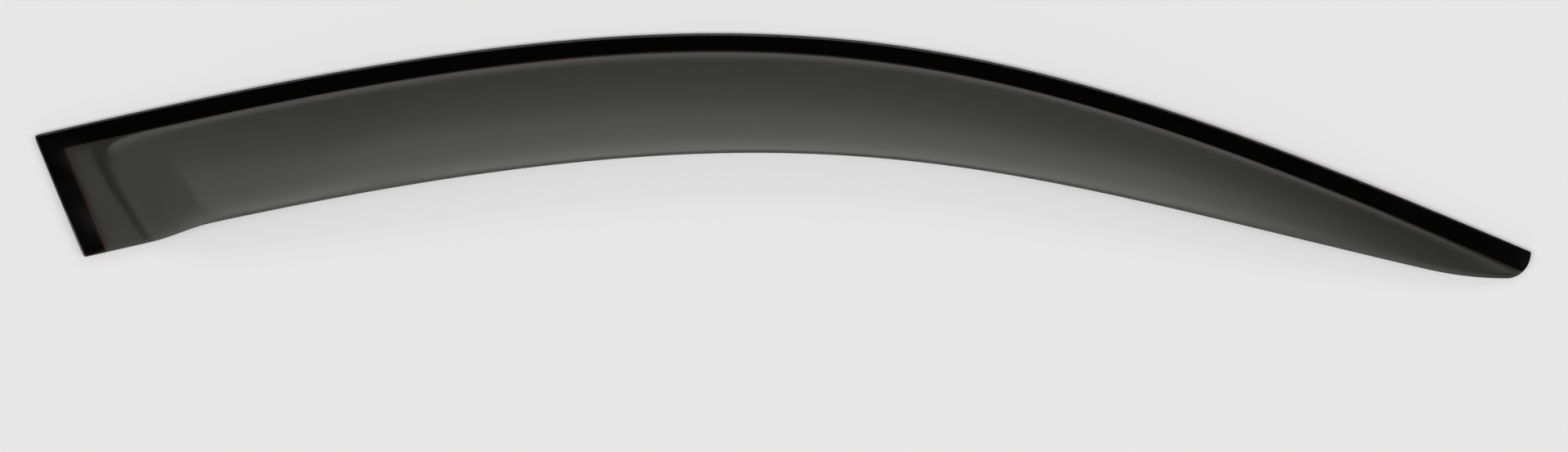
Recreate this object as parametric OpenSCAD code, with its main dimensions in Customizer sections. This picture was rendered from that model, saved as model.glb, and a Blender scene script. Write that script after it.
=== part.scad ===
// Window rain deflector for a car's front door.
// A smoked acrylic shell with a flat mounting flange, seen here face up with its taped side down.
// X runs along the length towards the front tip, Y towards the top edge, Z away from the door.
// Sizes are in millimetres and angles in degrees.

/* [Top edge] */
// Run of the top edge along the length, from the rear corner to the tip
top_run = 949.5; // [880:0.5:1000]
// Drop of the tip below the rear corner
tip_drop = 73.3; // [50:0.1:95]
// Upward heading of the top edge at the rear corner
rear_heading = 13.1; // [10:0.1:17]
// Distance over which the top edge holds its rear heading
rear_pull = 476; // [440:2:520]
// Downward heading of the top edge at the tip
tip_heading = 23; // [20:0.1:26]
// Distance over which the top edge takes up its tip heading
tip_pull = 391; // [330:1:420]

/* [Rear edge and nose] */
// Length of the rear edge between its sharp corners
rear_edge = 83.7; // [76:0.1:88]
// Lean of the rear edge from square to the length
rear_lean = 22.6; // [17:0.1:27]
// Radius of the two rear corners and of the one at the tip
corner_r = 2; // [1.6:0.1:3]
// Turn of the corner at the tip
tip_turn = 69.6; // [62:0.2:80]
// Radius of the nose under the tip
nose_r = 16.2; // [14:0.1:20]
// Radius of the belly behind the nose
belly_r = 227; // [180:1:260]
// Turn of the belly behind the nose
belly_turn = 12.9; // [11:0.1:15]

/* [Free edge] */
// Upward heading of the free edge at the rear corner
free_heading = 13.1; // [11:0.1:15]
// Distance over which the free edge holds its rear heading
free_rear_pull = 470; // [430:5:500]
// Distance over which the free edge takes up its front heading
free_front_pull = 313; // [290:1:350]
// Step of the free edge where the panel leaves the rear pad
pad_drop = 3.3; // [0:0.1:6]

/* [Moulding] */
// Thickness of the acrylic sheet
sheet_t = 2.5; // [2:0.1:3]
// Width of the flat flange under the top edge
flange_w = 12; // [10:0.5:15]
// Width of the flange at the tip
flange_tip_w = 13.4; // [10:0.2:15]
// Length before the tip over which the flange widens
flange_spread = 130; // [60:10:200]
// Height by which the free edge stands off the door
standoff = 22; // [12:0.5:26]
// Share of the stand-off at the rear edge
rear_rise = 0.6; // [0.4:0.05:1]
// Length over which the stand-off grows to the full one
rise_len = 240; // [150:10:400]
// Width of the hollow fillet between flange and panel
fillet_w = 8; // [5:0.5:12]
// Share of the starting slope that the crown takes away by the free edge
crown = 0.9; // [0.6:0.05:1]
// Panel width from which the stand-off is full
full_w = 68; // [60:1:76]
// Distance from the rear edge to the middle of the ramp behind the rear pad
ramp_mid = 46; // [40:1:54]
// Width of the ramp behind the rear pad
ramp_w = 40; // [28:1:46]
// Lean of the ramp from the rear edge
ramp_lean = 11; // [0:0.5:15]
// Rounding of the outer rim
rim_r = 1; // [0.6:0.1:1.2]
// Chamfer of the back rim
back_chamfer = 0.4; // [0.2:0.1:0.6]

/* [Tape] */
// Thickness of the foam tape
tape_t = 1.1; // [0.8:0.1:1.6]
// Distance of the tape from the edge of the acrylic
tape_inset = 0.3; // [0.2:0.1:1]
// Further distance at the place near the tip where the tape drifts inwards
tape_drift = 0.8; // [0:0.1:1.5]
// Distance of that place from the tip
drift_back = 65; // [55:5:90]
// Length over which the tape drifts on each side of it
drift_half = 50; // [20:5:50]
// Distance of the rear tape from the rear edge at its foot
rear_foot_inset = 1.3; // [0.2:0.1:2]
// Distance of the rear tape's inner side from the rear edge
rear_band = 13.9; // [10:0.1:18]
// Gap where the two strips of tape butt
butt_gap = 0.1; // [0.05:0.05:0.4]
// Thickness of the release liner
liner_t = 0.15; // [0.1:0.05:0.3]
// Width by which the release liner stands out past the tape's inner side
liner_over = 0.5; // [0:0.1:1]
// Clearance between layers that are stuck together
bond = 0.02; // [0.01:0.01:0.05]

/* [Door surface] */
// Radius of the door frame's bow along the length
bow_r = 20000; // [12000:500:30000]
// Radius of the door frame's section from sill to roof
section_r = 1500; // [1200:50:2500]

/* [Hidden] */

// Stations along the length, the closer ones across the rear pad and its ramp
stations = 100;
close_stations = 18;
close_len = 88;
// Heights of the flange's rows inside the margin, and of the panel's rows, as shares of their widths
flange_rows = [0, 0.35, 0.7];
panel_rows = [0, 0.035, 0.07, 0.11, 0.17, 0.25, 0.34, 0.45, 0.57, 0.7, 0.84, 1];
// Columns before the nose that bulge with it
bulge_columns = 4;
// Segments of a small corner
corner_steps = 4;
// Points of the fine lines that the edges are read from
fine = 400;
// Small steps for reading an edge's heading and the sheet's slope
edge_probe = 1;
probe = 0.2;
// Largest share of the panel's width that the fillet takes
fillet_cap = 0.5;

// Headings and points in the plan

function dir(angle) = [cos(angle), sin(angle)];
function unit(v) = v / norm(v);
function smooth(t) = let (c = max(0, min(1, t))) c * c * (3 - 2 * c);
function mix(a, b, t) = a * (1 - t) + b * t;

// Point on a cubic curve that leaves a at one heading and reaches d at another
function curve(a, a_heading, a_pull, d, d_heading, d_pull, t) =
    let (b = a + a_pull * dir(a_heading), c = d - d_pull * dir(d_heading), s = 1 - t)
    a * pow(s, 3) + b * 3 * s * s * t + c * 3 * s * t * t + d * pow(t, 3);

// Point after a clockwise arc that starts at a point with a heading
function arc(start, heading, r, turn) =
    start + r * dir(heading - 90) + r * dir(heading + 90 - turn);

rear_corner = [0, 0];
rear_dir = dir(rear_lean - 90);
rear_in = dir(rear_lean);
free_corner = rear_edge * rear_dir;
tip_start = [top_run, -tip_drop];
nose_turn = 180 - tip_heading - tip_turn;
nose_start = arc(tip_start, -tip_heading, corner_r, tip_turn);
nose_centre = nose_start + nose_r * dir(-tip_heading - tip_turn - 90);
belly_start = nose_centre + nose_r * dir(-90);
belly_end = arc(belly_start, 180, belly_r, belly_turn);

// Ramp from the rear pad to the raised panel, from 0 to 1
function ramp(p) =
    let (off = p * rear_in, down = p * rear_dir)
    smooth((off - ramp_mid - down * tan(ramp_lean)) / ramp_w + 0.5);

function top_point(t) =
    curve(rear_corner, rear_heading, rear_pull, tip_start, -tip_heading, tip_pull, t);
function free_curve(t) =
    curve(free_corner + [0, pad_drop], free_heading, free_rear_pull,
          belly_end, -belly_turn, free_front_pull, t);
function free_point(t) =
    let (p = free_curve(t))
    p - [0, pad_drop * (1 - ramp(p))];

// Fine lines along the top edge and along the free edge up to the nose
top_line = [for (k = [0:fine]) top_point(k / fine)];
belly_steps = 20;
free_line = concat(
    [for (k = [0:fine - 1]) free_point(k / fine)],
    [for (k = [0:belly_steps])
        belly_start + belly_r * (dir(90) + dir(-90 - belly_turn * (1 - k / belly_steps)))]);

// Distances along a line, and the tables that give its points by distance
function along(line) =
    [for (k = 0, s = 0; k < len(line);
          s = s + (k + 1 < len(line) ? norm(line[k + 1] - line[k]) : 0), k = k + 1) s];
function table(line, axis) =
    let (s = along(line)) [for (k = [0:len(line) - 1]) [s[k], line[k][axis]]];
top_x = table(top_line, 0);
top_y = table(top_line, 1);
free_x = table(free_line, 0);
free_y = table(free_line, 1);
function at(xs, ys, s) = [lookup(s, xs), lookup(s, ys)];
function heading(xs, ys, s) =
    let (a = at(xs, ys, s - edge_probe), b = at(xs, ys, s + edge_probe))
    atan2(b[1] - a[1], b[0] - a[0]);

top_len = top_x[len(top_x) - 1][0];
free_len = free_x[len(free_x) - 1][0];

// Where the rear corners' roundings meet the long edges
top_foot = corner_r / tan((90 - rear_lean + rear_heading) / 2);
free_foot = corner_r / tan((90 + rear_lean - free_heading) / 2);

// Share of the length at each station
function share(i) =
    let (close = close_len / top_len)
    i < close_stations ? close * i / close_stations
    : close + (1 - close) * (i - close_stations) / (stations - close_stations);
top_s = [for (i = [0:stations]) mix(top_foot, top_len, share(i))];
free_s = [for (i = [0:stations]) mix(free_foot, free_len, share(i))];

// Points of the two long edges and the headings into the sheet there
top_edge = [for (s = top_s) at(top_x, top_y, s)];
top_in = [for (i = [0:stations])
    i == stations ? dir(-tip_heading - 90) : dir(heading(top_x, top_y, top_s[i]) - 90)];
free_edge = [for (s = free_s) at(free_x, free_y, s)];
free_in = [for (i = [0:stations])
    i == stations ? dir(90) : dir(heading(free_x, free_y, free_s[i]) + 90)];

// Core of the sheet, inside a margin as wide as the corners' radius
margin = corner_r;
top_core = [for (i = [0:stations]) top_edge[i] + margin * top_in[i]];
free_core = [for (i = [0:stations]) free_edge[i] + margin * free_in[i]];
sheet_w = [for (i = [0:stations]) (free_edge[i] - top_edge[i]) * top_in[i]];

// Width of the flange at each station, and of the panel under it
flange_at = [for (i = [0:stations])
    mix(flange_w, flange_tip_w, smooth(1 - (1 - share(i)) * top_len / flange_spread))];
panel_w = [for (i = [0:stations]) sheet_w[i] - flange_at[i]];

// Rows of the core: the flange's, then the panel's
function row_shares(i) =
    let (depth = (free_core[i] - top_core[i]) * top_in[i], flange = (flange_at[i] - margin) / depth)
    concat([for (q = flange_rows) q * flange], [for (q = panel_rows) mix(flange, 1, q)]);
rows = len(flange_rows) + len(panel_rows) - 1;
function nose_point(v, inset) =
    nose_centre + (nose_r - inset) * dir(90 - tip_heading - tip_turn - nose_turn * v);
function core_point(i, v) =
    let (p = mix(top_core[i], free_core[i], v),
         near = max(0, 1 - (stations - i) / bulge_columns),
         end = mix(top_core[stations], free_core[stations], v))
    p + near * (nose_point(v, margin) - end);
core = [for (i = [0:stations]) let (v = row_shares(i)) [for (j = [0:rows]) core_point(i, v[j])]];

// Outline of the sheet

// Corner of the rim: points round a centre, with the headings into the sheet
function corner(c, r, from, turn) =
    [for (k = [1:corner_steps - 1])
        let (a = from + turn * k / corner_steps) [c + r * dir(a), -dir(a)]];
rear_centre = top_core[0];
free_centre = free_core[0];
tip_centre = top_core[stations];
top_out = 90 + rear_heading;
rear_out = 180 + rear_lean;
free_out = 270 + free_heading;

// One turn round the sheet, seen from above and anticlockwise.
// Each entry has the edge point, the heading into the sheet, the station and the core's row.
loop = concat(
    [for (i = [0:stations]) [free_edge[i], free_in[i], i, rows]],
    [for (j = [rows - 1:-1:1])
        let (v = row_shares(stations)[j])
        [nose_point(v, 0), unit(nose_centre - nose_point(v, 0)), stations, j]],
    [for (c = corner(tip_centre, corner_r, 90 - tip_heading - tip_turn, tip_turn)) [c[0], c[1], stations, 0]],
    [for (i = [stations:-1:0]) [top_edge[i], top_in[i], i, 0]],
    [for (c = corner(rear_centre, corner_r, top_out, rear_out - top_out)) [c[0], c[1], 0, 0]],
    [for (j = [1:rows - 1]) [core[0][j] - margin * rear_in, rear_in, 0, j]],
    [for (c = corner(free_centre, corner_r, rear_out, free_out - rear_out)) [c[0], c[1], 0, rows]]);
turns = len(loop);

// Everything is centred in the plan
function middle(axis) =
    let (v = [for (e = loop) e[0][axis]]) (min(v) + max(v)) / 2;
centre = [middle(0), middle(1), 0];

// Plans of the strips of tape and liner

// Fan of triangles from one point over a run of others
function fan(c, run) = [for (k = [0:len(run) - 2]) [c, run[k], run[k + 1]]];
function count(from, to) = [for (k = from; k <= to; k = k + 1) k];

// Point where two lines meet, each given by a point and a heading
function meet(a, da, b, db) = a + da * cross(b - a, db) / cross(da, db);

// Top strip: its rear end follows the rear edge, its front end follows the nose.
// The plans take the width by which a layer stands out past the tape's inner side.
function strip_inset(i) =
    let (before_tip = (1 - share(i)) * top_len)
    tape_inset + tape_drift * smooth(1 - abs(before_tip - drift_back) / drift_half);
strip_outer = [for (i = [0:stations]) top_edge[i] + strip_inset(i) * top_in[i]];
function strip_inner(over) = [for (i = [0:stations]) top_edge[i] + (flange_at[i] + over) * top_in[i]];
end_r = corner_r - tape_inset;
rear_run = concat(
    [for (c = corner(rear_centre, end_r, top_out, rear_out - top_out)) c[0]],
    [rear_centre - end_r * rear_in]);
function rear_end(over) =
    meet(tape_inset * rear_in, rear_dir, strip_inner(over)[0], dir(rear_heading));
nose_depth = corner_r * (1 - cos(tip_turn)) + nose_r * cos(tip_turn);
function inner_turn(over) = acos((nose_depth - flange_tip_w - over) / (nose_r - tape_inset));
nose_steps = 8;
function nose_run(over) = concat(
    [for (k = [0:nose_steps])
        let (a = mix(inner_turn(over), tip_turn, k / nose_steps))
        nose_centre + (nose_r - tape_inset) * dir(90 - tip_heading - a)],
    [for (c = corner(tip_centre, end_r, 90 - tip_heading - tip_turn, tip_turn)) c[0]]);
function top_plan(over) =
    concat(strip_outer, strip_inner(over), rear_run, [rear_end(over)], nose_run(over));
top_n = len(top_plan(0));
strip_n = stations + 1;
rear_from = 2 * strip_n;
nose_from = rear_from + len(rear_run) + 1;
top_faces = concat(
    [for (i = [0:stations - 1]) for (f = [
        [i, strip_n + i, strip_n + i + 1], [i, strip_n + i + 1, i + 1]]) f],
    fan(strip_n, concat([0], count(rear_from, nose_from - 1))),
    fan(strip_n + stations, concat(count(nose_from, top_n - 1), [stations])));
top_outline = concat(
    count(strip_n, strip_n + stations),
    count(nose_from, top_n - 1),
    [for (i = [stations:-1:0]) i],
    count(rear_from, nose_from - 1));

// Rear strip: it butts against the top strip and ends along the free edge
rear_steps = 8;
foot_centre = meet((end_r + rear_foot_inset) * rear_in, rear_dir, free_centre, dir(free_heading));
rear_outer_end = foot_centre - end_r * rear_in;
free_line_in = free_edge[0] + tape_inset * free_in[0];
function rear_top(off, over) =
    meet(off * rear_in, rear_dir,
         top_edge[0] + (flange_at[0] + over + butt_gap) * top_in[0], dir(rear_heading));
function rear_level(off) = meet(off * rear_in, rear_dir, foot_centre, rear_in);
function rear_plan(over) =
    let (inner = rear_band + over)
    concat(
        [for (k = [0:rear_steps]) mix(rear_top(tape_inset, over), rear_outer_end, k / rear_steps)],
        [for (k = [0:rear_steps]) mix(rear_top(inner, over), rear_level(inner), k / rear_steps)],
        [for (c = corner(foot_centre, end_r, rear_out, free_out - rear_out)) c[0]],
        [foot_centre + end_r * dir(free_out),
         meet(inner * rear_in, rear_dir, free_line_in, dir(free_heading))]);
rear_n = rear_steps + 1;
plan_n = len(rear_plan(0));
rear_faces = concat(
    [for (k = [0:rear_steps - 1]) for (f = [
        [k, k + 1, rear_n + k + 1], [k, rear_n + k + 1, rear_n + k]]) f],
    fan(rear_n + rear_steps, concat([rear_steps], count(2 * rear_n, plan_n - 1))));
rear_outline = concat(
    count(0, rear_steps),
    count(2 * rear_n, plan_n - 1),
    [for (k = [rear_steps:-1:0]) rear_n + k]);

// Heights above the table

// Door frame's surface, before it is turned to rest on the table
function door(p) = -p[0] * p[0] / (2 * bow_r) - p[1] * p[1] / (2 * section_r);

// The taped side rests on the rear corner, the tip and the crown of the top edge
crown_at = [for (i = [1:stations - 1])
    if (top_edge[i][1] >= top_edge[i - 1][1] && top_edge[i][1] > top_edge[i + 1][1]) i][0];
function foot(p) = [p[0], p[1], door(p)];
rest_a = foot(top_edge[0]);
rest_b = foot(top_edge[stations]);
rest_c = foot(top_edge[crown_at]);
rest_n = cross(rest_b - rest_a, rest_c - rest_a);
function table_height(p) =
    rest_a[2] - (rest_n[0] * (p[0] - rest_a[0]) + rest_n[1] * (p[1] - rest_a[1])) / rest_n[2];
function above_table(p) = door(p) - table_height(p);
lift = -min([for (p = concat(top_plan(liner_over), rear_plan(liner_over))) above_table(p)]);
function ground(p) = above_table(p) + lift;
tape_z = liner_t + bond;
sheet_z = tape_z + tape_t + bond;

// Share of the full stand-off, which grows from the rear edge
function growth(p) = mix(rear_rise, 1, smooth(p * rear_in / rise_len));

// Section of the raised panel from 0 at the flange to 1 at the free edge
function section(q, f) =
    q < f ? (q * q / 2 - crown * pow(q, 3) / 3) / f
    : f / 2 - crown * f * f / 3 + (q - crown * q * q / 2) - (f - crown * f * f / 2);
function rise(i, p) =
    let (q = ((p - top_edge[i]) * top_in[i] - flange_at[i]) / panel_w[i],
         f = min(fillet_cap, fillet_w / panel_w[i]))
    q <= 0 ? 0
    : standoff * growth(p) * smooth(panel_w[i] / full_w) * ramp(p)
        * section(min(q, 1), f) / section(1, f);

// Back of the sheet at a plan point beside station i, and a point some way into the sheet
function back(i, p) = ground(p) + sheet_z + rise(i, p);
function skin(i, p, depth) =
    let (z = back(i, p),
         n = unit([z - back(i, p + [probe, 0]), z - back(i, p + [0, probe]), probe]))
    [p[0], p[1], z] + depth * n;

// Profile of the rim: distance from the edge and depth into the sheet, from the back to the front
rim_soft = 1 - cos(45);
rim = [
    [back_chamfer, 0],
    [0, back_chamfer],
    [0, sheet_t - rim_r],
    [rim_soft * rim_r, sheet_t - rim_soft * rim_r],
    [rim_r, sheet_t]];
rims = len(rim);

// Faces as triangles, without the ones that a corner closes up
function triangles(a, b, c, d) = concat(
    a == b || b == c || a == c ? [] : [[a, b, c]],
    a == c || c == d || a == d ? [] : [[a, c, d]]);

core_n = (stations + 1) * (rows + 1);
function core_index(i, j) = i * (rows + 1) + j;
function rim_index(k, r) =
    let (e = loop[k % turns])
    r == 0 ? core_index(e[2], e[3])
    : r > rims ? core_n + core_index(e[2], e[3])
    : 2 * core_n + (k % turns) * rims + r - 1;

module visor() {
    points = concat(
        [for (i = [0:stations]) for (p = core[i]) skin(i, p, 0)],
        [for (i = [0:stations]) for (p = core[i]) skin(i, p, sheet_t)],
        [for (e = loop) for (r = rim) skin(e[2], e[0] + r[0] * e[1], r[1])]);
    back_faces = [for (i = [0:stations - 1]) for (j = [0:rows - 1])
        for (f = triangles(core_index(i, j), core_index(i, j + 1),
                           core_index(i + 1, j + 1), core_index(i + 1, j))) f];
    front_faces = [for (i = [0:stations - 1]) for (j = [0:rows - 1])
        for (f = triangles(core_index(i, j), core_index(i + 1, j),
                           core_index(i + 1, j + 1), core_index(i, j + 1)))
            [for (v = f) core_n + v]];
    rim_faces = [for (k = [0:turns - 1]) for (r = [0:rims])
        for (f = triangles(rim_index(k, r), rim_index(k, r + 1),
                           rim_index(k + 1, r + 1), rim_index(k + 1, r))) f];
    color("#2e2e2f")
        translate(-centre)
            polyhedron(points, concat(back_faces, front_faces, rim_faces));
}

// Flat strips that follow the door's surface

// Solid between two heights over a plan of triangles with one outline round it, anticlockwise
module layer(plan, faces, outline, low, high) {
    n = len(plan);
    m = len(outline);
    points = concat(
        [for (p = plan) [p[0], p[1], ground(p) + low]],
        [for (p = plan) [p[0], p[1], ground(p) + high]]);
    walls = [for (k = [0:m - 1])
        let (a = outline[k], b = outline[(k + 1) % m])
            for (f = [[a, a + n, b + n], [a, b + n, b]]) f];
    translate(-centre)
        polyhedron(points, concat(
            faces,
            [for (f = faces) [for (v = [2:-1:0]) f[v] + n]],
            walls));
}

module top_tape()
    color("#0b0b0c") layer(top_plan(0), top_faces, top_outline, tape_z, tape_z + tape_t);

module rear_tape()
    color("#0b0b0c") layer(rear_plan(0), rear_faces, rear_outline, tape_z, tape_z + tape_t);

module top_liner()
    color("#8c2f2a") layer(top_plan(liner_over), top_faces, top_outline, 0, liner_t);

module rear_liner()
    color("#8c2f2a") layer(rear_plan(liner_over), rear_faces, rear_outline, 0, liner_t);

visor();
top_tape();
rear_tape();
top_liner();
rear_liner();
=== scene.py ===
"""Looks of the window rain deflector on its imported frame. Lengths are in metres, angles in degrees."""
import math

import bmesh
import bpy
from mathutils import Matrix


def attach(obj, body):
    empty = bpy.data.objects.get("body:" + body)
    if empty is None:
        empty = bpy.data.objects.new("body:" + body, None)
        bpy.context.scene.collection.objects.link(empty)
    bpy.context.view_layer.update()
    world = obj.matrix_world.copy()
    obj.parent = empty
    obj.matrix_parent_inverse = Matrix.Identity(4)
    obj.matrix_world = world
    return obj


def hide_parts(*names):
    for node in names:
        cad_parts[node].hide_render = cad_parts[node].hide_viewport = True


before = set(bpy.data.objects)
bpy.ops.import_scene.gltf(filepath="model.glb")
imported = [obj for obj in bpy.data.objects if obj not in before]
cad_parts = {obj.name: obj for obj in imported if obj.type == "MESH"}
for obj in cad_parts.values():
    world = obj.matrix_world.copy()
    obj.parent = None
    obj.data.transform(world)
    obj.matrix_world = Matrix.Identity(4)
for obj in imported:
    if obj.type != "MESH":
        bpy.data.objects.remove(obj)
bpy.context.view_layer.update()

# Photograph's frame: its size, the pixel where the middle of the part lies, and the real size of a pixel
PHOTO_W = 1920
PHOTO_H = 553
PART_PX = (959, 191)
PIXEL = 0.000519
# Height of the camera over the floor and width of its sensor
CAMERA_UP = 2.5
SENSOR = 0.036
# Millimetres in a metre, for the sensor and the lens
MM = 1000

# Colour of the floor and half of its size
FLOOR_COLOUR = (0.765, 0.765, 0.765)
FLOOR_HALF = 15

# A direction of the studio has an angle across the part, from the +Y horizon at 0 over the zenith to the -Y
# horizon at a half turn, and a share along X, from -1 to 1. Light is given as radiance.
HALF_TURN = 180

# Lamps by angle: a long one hangs overhead, a little to the -Y side, and weaker fill comes from both sides
LAMPS = (
    (0, 0), (25, 0), (45, 1.15), (60, 0.1), (70, 0.35), (86, 0.3), (94, 4.2),
    (102, 4.1), (110, 2.5), (120, 1.2), (132, 0), (146, 0), (162, 1.3), (179, 0),
)
# Radiance that the scale of the lamps reaches up to
LAMP_TOP = 5
# Share along X, to either side, over which the lamps end
LAMP_END = (0.8, 0.95)

# What the gloss mirrors instead, by angle: a wide soft box on the +Y side, a dark zenith and a dim room
GLOSS_SKY = (
    (0, 0.4), (10, 0.5), (25, 0.5), (40, 0.8), (52, 1.35), (62, 1.38), (70, 1.36),
    (76, 0), (100, 0), (112, 0.4), (180, 0.4),
)
# Radiance that the scale of this sky reaches up to
GLOSS_TOP = 1.4
# Where the sky ends along X towards the tip, how much nearer each degree brings that, and up to which angle
GLOSS_END = (0.43, 0.65)
GLOSS_SLANT = 0.0025
GLOSS_SLANT_TO = 90
# How many degrees higher the soft box reaches at the rear, and the shares along X over which it gets there
GLOSS_LIFT = 8
GLOSS_LIFT_FROM = (-0.31, -0.2)

# Dim wall beyond the rear end: its light, and the shares along X over which it begins
REAR_WALL = 0.62
REAR_WALL_FROM = (-0.44, -0.24)

# Small dim screen overhead, which the rear pad mirrors: its light, and the angles where it begins and ends
SCREEN = 0.5
SCREEN_FROM = (83.1, 84.3)
SCREEN_TO = (91, 95)
# Its rear side along X at angle 0, what each degree adds to that, and where it ends towards the tip
SCREEN_SIDE = (-0.3712, -0.3682)
SCREEN_LEAN = 0.0018
SCREEN_END = (-0.19, -0.17)

# Backdrop: its light, and the elevations over which the gloss loses sight of it
BACKDROP = 0.78
BACKDROP_TO = (8, 14)

# Range in which most of a noise lies
NOISE_RANGE = (0.3, 0.7)

# Scales of patterns are in features a metre. Each pair of colours is the darkest and the lightest one, and
# each pair of roughnesses the smoothest and the roughest one.

# Acrylic: refraction, what is absorbed along a metre in red, green and blue, and its skin with slow waves
ACRYLIC_IOR = 1.49
ABSORBED = (711, 711, 724)
ACRYLIC_ROUGH = (0.015, 0.05)
POLISH_SCALE = 60
WAVE_SCALE = 28
WAVE_DEPTH = 0.00002

# Cut edge of the acrylic, painted as shade: opaque near-black in place of clear acrylic, for the dark look
# that light gives the rim after a long way in the tint
RIM_SHADE_COLOURS = ((0.004, 0.004, 0.004), (0.012, 0.012, 0.012))
EDGE_ROUGH = (0.12, 0.22)
EDGE_SCALE = 400

# Foam of the tape, with its cells
FOAM_COLOURS = ((0.002, 0.002, 0.0022), (0.009, 0.009, 0.0095))
FOAM_SCALE = 900
CELL_SCALE = 2600
CELL_DEPTH = 0.00008

# Release film, with its smudges and ripples
FILM_COLOURS = ((0.64, 0.14, 0.11), (0.78, 0.24, 0.19))
FILM_ROUGH = (0.28, 0.42)
FILM_SCALE = 90
SMUDGE_SCALE = 300
RIPPLE_SCALE = 160
RIPPLE_DEPTH = 0.00005

# Distance under which vertices of the frame are one
WELD = 0.000001
# Angles in radians up to which two triangles pair into a quad: between the two, and at the quad's corners
PAIR_BEND = 0.35
PAIR_SKEW = 1.2
# Subdivisions of the moulding
FINE = 2
# Faces of the rim are those whose normal has less than this along Z
RIM_LEAN = 0.6


# Shader nodes

def math_node(tree, operation, *values):
    """Output of a maths node, whose inputs are sockets or numbers."""
    node = tree.nodes.new("ShaderNodeMath")
    node.operation = operation
    for socket, value in zip(node.inputs, values):
        if isinstance(value, bpy.types.NodeSocket):
            tree.links.new(value, socket)
        else:
            socket.default_value = value
    return node.outputs[0]


def product(tree, first, second):
    """Product of two sockets or numbers."""
    return math_node(tree, "MULTIPLY", first, second)


def fade(tree, value, low, high, start=0.0, end=1.0):
    """Smooth step of a value from start at low to end at high."""
    node = tree.nodes.new("ShaderNodeMapRange")
    node.interpolation_type = "SMOOTHSTEP"
    tree.links.new(value, node.inputs["Value"])
    node.inputs["From Min"].default_value = low
    node.inputs["From Max"].default_value = high
    node.inputs["To Min"].default_value = start
    node.inputs["To Max"].default_value = end
    return node.outputs["Result"]


def noise(tree, scale, detail=2.0):
    """Noise over the object's own coordinates, with its scale in features a metre."""
    place = tree.nodes.new("ShaderNodeTexCoord")
    node = tree.nodes.new("ShaderNodeTexNoise")
    tree.links.new(place.outputs["Object"], node.inputs["Vector"])
    node.inputs["Scale"].default_value = scale
    node.inputs["Detail"].default_value = detail
    return node.outputs["Fac"]


def mix_shaders(tree, share, first, second):
    """Shader that goes from the first one to the second with a share."""
    mix = tree.nodes.new("ShaderNodeMixShader")
    tree.links.new(share, mix.inputs["Fac"])
    tree.links.new(first, mix.inputs[1])
    tree.links.new(second, mix.inputs[2])
    return mix.outputs["Shader"]


def new_material(name):
    """Material with an empty node tree and its output node."""
    material = bpy.data.materials.new(name)
    material.use_nodes = True
    tree = material.node_tree
    tree.nodes.clear()
    return material, tree, tree.nodes.new("ShaderNodeOutputMaterial")


def principled(tree, **inputs):
    """Principled shader with values on its sockets, whose names are given with underscores."""
    shader = tree.nodes.new("ShaderNodeBsdfPrincipled")
    for name, value in inputs.items():
        shader.inputs[name.replace("_", " ")].default_value = value
    return shader


def colour_by(tree, shader, pattern, colours):
    """Let the colour of a shader go from the first of two colours to the second with a pattern."""
    ramp = tree.nodes.new("ShaderNodeValToRGB")
    for element, colour in zip(ramp.color_ramp.elements, colours):
        element.color = (*colour, 1)
    tree.links.new(pattern, ramp.inputs["Fac"])
    tree.links.new(ramp.outputs["Color"], shader.inputs["Base Color"])


def roughen_by(tree, shader, pattern, roughness):
    """Let the roughness of a shader go over a range with a pattern."""
    tree.links.new(fade(tree, pattern, *NOISE_RANGE, *roughness), shader.inputs["Roughness"])


def bump_by(tree, shader, height, depth):
    """Bend the normal of a shader by a height field that is as deep as given."""
    node = tree.nodes.new("ShaderNodeBump")
    node.inputs["Strength"].default_value = 1.0
    node.inputs["Distance"].default_value = depth
    tree.links.new(height, node.inputs["Height"])
    tree.links.new(node.outputs["Normal"], shader.inputs["Normal"])


# Materials

def smoked_acrylic():
    """Clear, dark-tinted acrylic with a polished skin that is faintly wavy from moulding."""
    material, tree, output = new_material("smoked_acrylic")
    shader = principled(tree, Base_Color=(1, 1, 1, 1), Transmission_Weight=1.0, IOR=ACRYLIC_IOR)
    roughen_by(tree, shader, noise(tree, POLISH_SCALE, detail=4.0), ACRYLIC_ROUGH)
    bump_by(tree, shader, noise(tree, WAVE_SCALE), WAVE_DEPTH)

    # Light on its way to the floor passes the skin straight, and only the tint dims it
    clear = tree.nodes.new("ShaderNodeBsdfTransparent")
    path = tree.nodes.new("ShaderNodeLightPath")
    skin = mix_shaders(tree, path.outputs["Is Shadow Ray"], shader.outputs["BSDF"], clear.outputs["BSDF"])
    tree.links.new(skin, output.inputs["Surface"])

    tint = tree.nodes.new("ShaderNodeVolumeAbsorption")
    density = max(ABSORBED)
    tint.inputs["Color"].default_value = (*(1 - absorbed / density for absorbed in ABSORBED), 1)
    tint.inputs["Density"].default_value = density
    tree.links.new(tint.outputs["Volume"], output.inputs["Volume"])
    return material


def painted_dark_rim():
    """Rim of the acrylic as painted shade: opaque near-black in place of clear acrylic, for the dark look
    of a rim that light leaves only after a long way in the tint.
    """
    material, tree, output = new_material("painted_dark_rim")
    shader = principled(tree, Specular_IOR_Level=0.5)
    grain = noise(tree, EDGE_SCALE, detail=3.0)
    colour_by(tree, shader, grain, RIM_SHADE_COLOURS)
    roughen_by(tree, shader, grain, EDGE_ROUGH)
    tree.links.new(shader.outputs["BSDF"], output.inputs["Surface"])
    return material


def foam_tape():
    """Black closed-cell foam, with its cells as fine pits."""
    material, tree, output = new_material("foam_tape")
    shader = principled(tree, Roughness=0.92, Specular_IOR_Level=0.25)
    colour_by(tree, shader, noise(tree, FOAM_SCALE, detail=3.0), FOAM_COLOURS)
    place = tree.nodes.new("ShaderNodeTexCoord")
    cells = tree.nodes.new("ShaderNodeTexVoronoi")
    tree.links.new(place.outputs["Object"], cells.inputs["Vector"])
    cells.inputs["Scale"].default_value = CELL_SCALE
    bump_by(tree, shader, cells.outputs["Distance"], CELL_DEPTH)
    tree.links.new(shader.outputs["BSDF"], output.inputs["Surface"])
    return material


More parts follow.
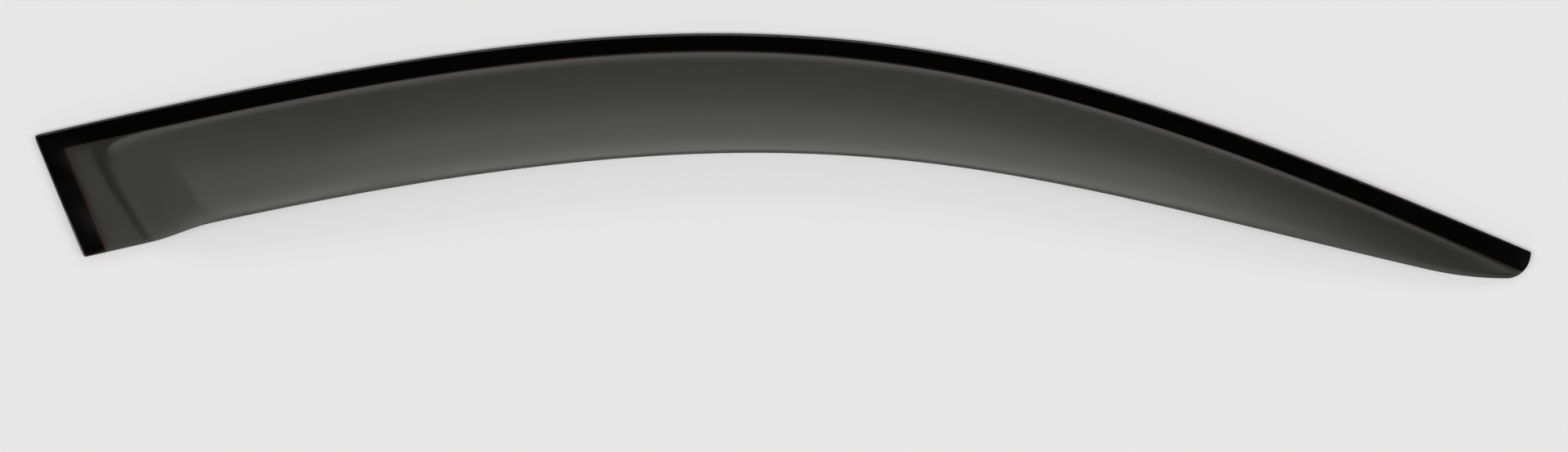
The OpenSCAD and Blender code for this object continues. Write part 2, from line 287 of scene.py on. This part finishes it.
def liner_film():
    """Red release film, slightly wavy where it lies on the foam."""
    material, tree, output = new_material("liner_film")
    shader = principled(tree, Specular_IOR_Level=0.5)
    colour_by(tree, shader, noise(tree, FILM_SCALE, detail=4.0), FILM_COLOURS)
    roughen_by(tree, shader, noise(tree, SMUDGE_SCALE), FILM_ROUGH)
    bump_by(tree, shader, noise(tree, RIPPLE_SCALE, detail=3.0), RIPPLE_DEPTH)
    tree.links.new(shader.outputs["BSDF"], output.inputs["Surface"])
    return material


def floor_paint():
    """Plain pale floor."""
    material, tree, output = new_material("floor_paint")
    shader = principled(tree, Base_Color=(*FLOOR_COLOUR, 1), Roughness=1.0, Specular_IOR_Level=0.0)
    tree.links.new(shader.outputs["BSDF"], output.inputs["Surface"])
    return material


# Pieces

def moulding(node, material, rim_material):
    """Smooth copy of the moulded sheet, with its triangles paired into quads and subdivided."""
    mesh = bmesh.new()
    mesh.from_mesh(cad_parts[node].data)
    bmesh.ops.remove_doubles(mesh, verts=mesh.verts, dist=WELD)
    bmesh.ops.join_triangles(
        mesh, faces=mesh.faces, angle_face_threshold=PAIR_BEND, angle_shape_threshold=PAIR_SKEW
    )
    data = bpy.data.meshes.new("moulding")
    mesh.to_mesh(data)
    mesh.free()
    data.polygons.foreach_set("use_smooth", [True] * len(data.polygons))
    data.materials.append(material)
    data.materials.append(rim_material)
    rim = data.materials.find(rim_material.name)
    # Faces of the rim get the painted shade of the dark rim in place of the clear acrylic
    for face in data.polygons:
        if abs(face.normal.z) < RIM_LEAN:
            face.material_index = rim
    piece = bpy.data.objects.new("moulding", data)
    bpy.context.scene.collection.objects.link(piece)
    finer = piece.modifiers.new("finer", "SUBSURF")
    finer.levels = finer.render_levels = FINE
    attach(piece, "root")
    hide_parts(node)


def dress(node, material):
    """CAD node that stays, in a better material."""
    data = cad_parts[node].data
    data.materials.clear()
    data.materials.append(material)


# Studio

def add_camera():
    """Camera straight above, that frames the part as the photograph does."""
    data = bpy.data.cameras.new("camera")
    data.sensor_width = SENSOR * MM
    data.lens = SENSOR * MM * CAMERA_UP / (PHOTO_W * PIXEL)
    camera = bpy.data.objects.new("camera", data)
    camera.location = (
        (PHOTO_W / 2 - PART_PX[0]) * PIXEL,
        (PART_PX[1] - PHOTO_H / 2) * PIXEL,
        CAMERA_UP,
    )
    bpy.context.scene.collection.objects.link(camera)
    bpy.context.scene.camera = camera


def add_floor():
    """Wide floor at the height that the part rests on."""
    data = bpy.data.meshes.new("floor")
    corners = [(sx * FLOOR_HALF, sy * FLOOR_HALF, 0) for sx, sy in ((-1, -1), (1, -1), (1, 1), (-1, 1))]
    data.from_pydata(corners, [], [(0, 1, 2, 3)])
    data.materials.append(floor_paint())
    floor = bpy.data.objects.new("floor", data)
    bpy.context.scene.collection.objects.link(floor)


def light_by_angle(tree, across, stops, top, strength):
    """Light that follows stops of angle and radiance, where strength is the top radiance or less."""
    ramp = tree.nodes.new("ShaderNodeValToRGB")
    elements = ramp.color_ramp.elements
    while len(elements) < len(stops):
        elements.new(1.0)
    for element, (angle, radiance) in zip(elements, stops):
        grey = radiance / top
        element.position = angle / HALF_TURN
        element.color = (grey, grey, grey, 1)
    tree.links.new(across, ramp.inputs["Fac"])
    background = tree.nodes.new("ShaderNodeBackground")
    tree.links.new(ramp.outputs["Color"], background.inputs["Color"])
    tree.links.new(strength, background.inputs["Strength"])
    return background.outputs["Background"]


def plain_light(tree, radiance):
    """White light of one radiance."""
    background = tree.nodes.new("ShaderNodeBackground")
    background.inputs["Color"].default_value = (1, 1, 1, 1)
    background.inputs["Strength"].default_value = radiance
    return background.outputs["Background"]


def lamp_light(tree, along, across):
    """Light of the long soft lamps, which end far beyond both ends of the part."""
    strength = fade(tree, math_node(tree, "ABSOLUTE", along), *LAMP_END, LAMP_TOP, 0.0)
    return light_by_angle(tree, across, LAMPS, LAMP_TOP, strength)


def gloss_light(tree, along, across):
    """Light that the gloss mirrors: the soft box with its room, the rear wall and the small screen."""
    degrees = product(tree, across, HALF_TURN)
    slant = product(tree, math_node(tree, "MINIMUM", degrees, GLOSS_SLANT_TO), GLOSS_SLANT)
    strength = fade(tree, math_node(tree, "ADD", along, slant), *GLOSS_END, GLOSS_TOP, 0.0)
    lift = fade(tree, along, *GLOSS_LIFT_FROM, GLOSS_LIFT / HALF_TURN, 0.0)
    lower = math_node(tree, "SUBTRACT", across, lift)
    soft_box = light_by_angle(tree, lower, GLOSS_SKY, GLOSS_TOP, strength)

    in_wall = fade(tree, along, *REAR_WALL_FROM, 1.0, 0.0)
    room = mix_shaders(tree, in_wall, soft_box, plain_light(tree, REAR_WALL))

    side = math_node(tree, "SUBTRACT", along, product(tree, degrees, SCREEN_LEAN))
    in_width = product(tree, fade(tree, side, *SCREEN_SIDE), fade(tree, along, *SCREEN_END, 1.0, 0.0))
    past_start = fade(tree, degrees, *SCREEN_FROM)
    in_height = product(tree, past_start, fade(tree, degrees, *SCREEN_TO, 1.0, 0.0))
    in_screen = product(tree, in_height, in_width)
    return mix_shaders(tree, in_screen, room, plain_light(tree, SCREEN))


def add_sky():
    """Soft studio light, and a pale backdrop that the camera, the glass and low gloss see in its place."""
    world = bpy.data.worlds.new("studio")
    world.use_nodes = True
    tree = world.node_tree
    tree.nodes.clear()
    output = tree.nodes.new("ShaderNodeOutputWorld")
    place = tree.nodes.new("ShaderNodeTexCoord")
    axes = tree.nodes.new("ShaderNodeSeparateXYZ")
    tree.links.new(place.outputs["Generated"], axes.inputs["Vector"])
    along = axes.outputs["X"]
    up = axes.outputs["Z"]
    across = math_node(tree, "DIVIDE", math_node(tree, "ARCTAN2", up, axes.outputs["Y"]), math.pi)

    path = tree.nodes.new("ShaderNodeLightPath")
    in_gloss = path.outputs["Is Glossy Ray"]
    light = mix_shaders(tree, in_gloss, lamp_light(tree, along, across), gloss_light(tree, along, across))
    elevation = product(tree, math_node(tree, "ARCSINE", up), math.degrees(1))
    low_gloss = product(tree, in_gloss, fade(tree, elevation, *BACKDROP_TO, 1.0, 0.0))
    seen = math_node(tree, "MAXIMUM", path.outputs["Is Camera Ray"], path.outputs["Is Transmission Ray"])
    on_backdrop = math_node(tree, "MAXIMUM", seen, low_gloss)
    shown = mix_shaders(tree, on_backdrop, light, plain_light(tree, BACKDROP))
    tree.links.new(shown, output.inputs["Surface"])
    bpy.context.scene.world = world


add_camera()
add_floor()
add_sky()
bpy.context.scene.view_settings.view_transform = "Standard"

foam = foam_tape()
film = liner_film()
moulding("visor", smoked_acrylic(), painted_dark_rim())
for strip in ("top_tape", "rear_tape"):
    dress(strip, foam)
for strip in ("top_liner", "rear_liner"):
    dress(strip, film)
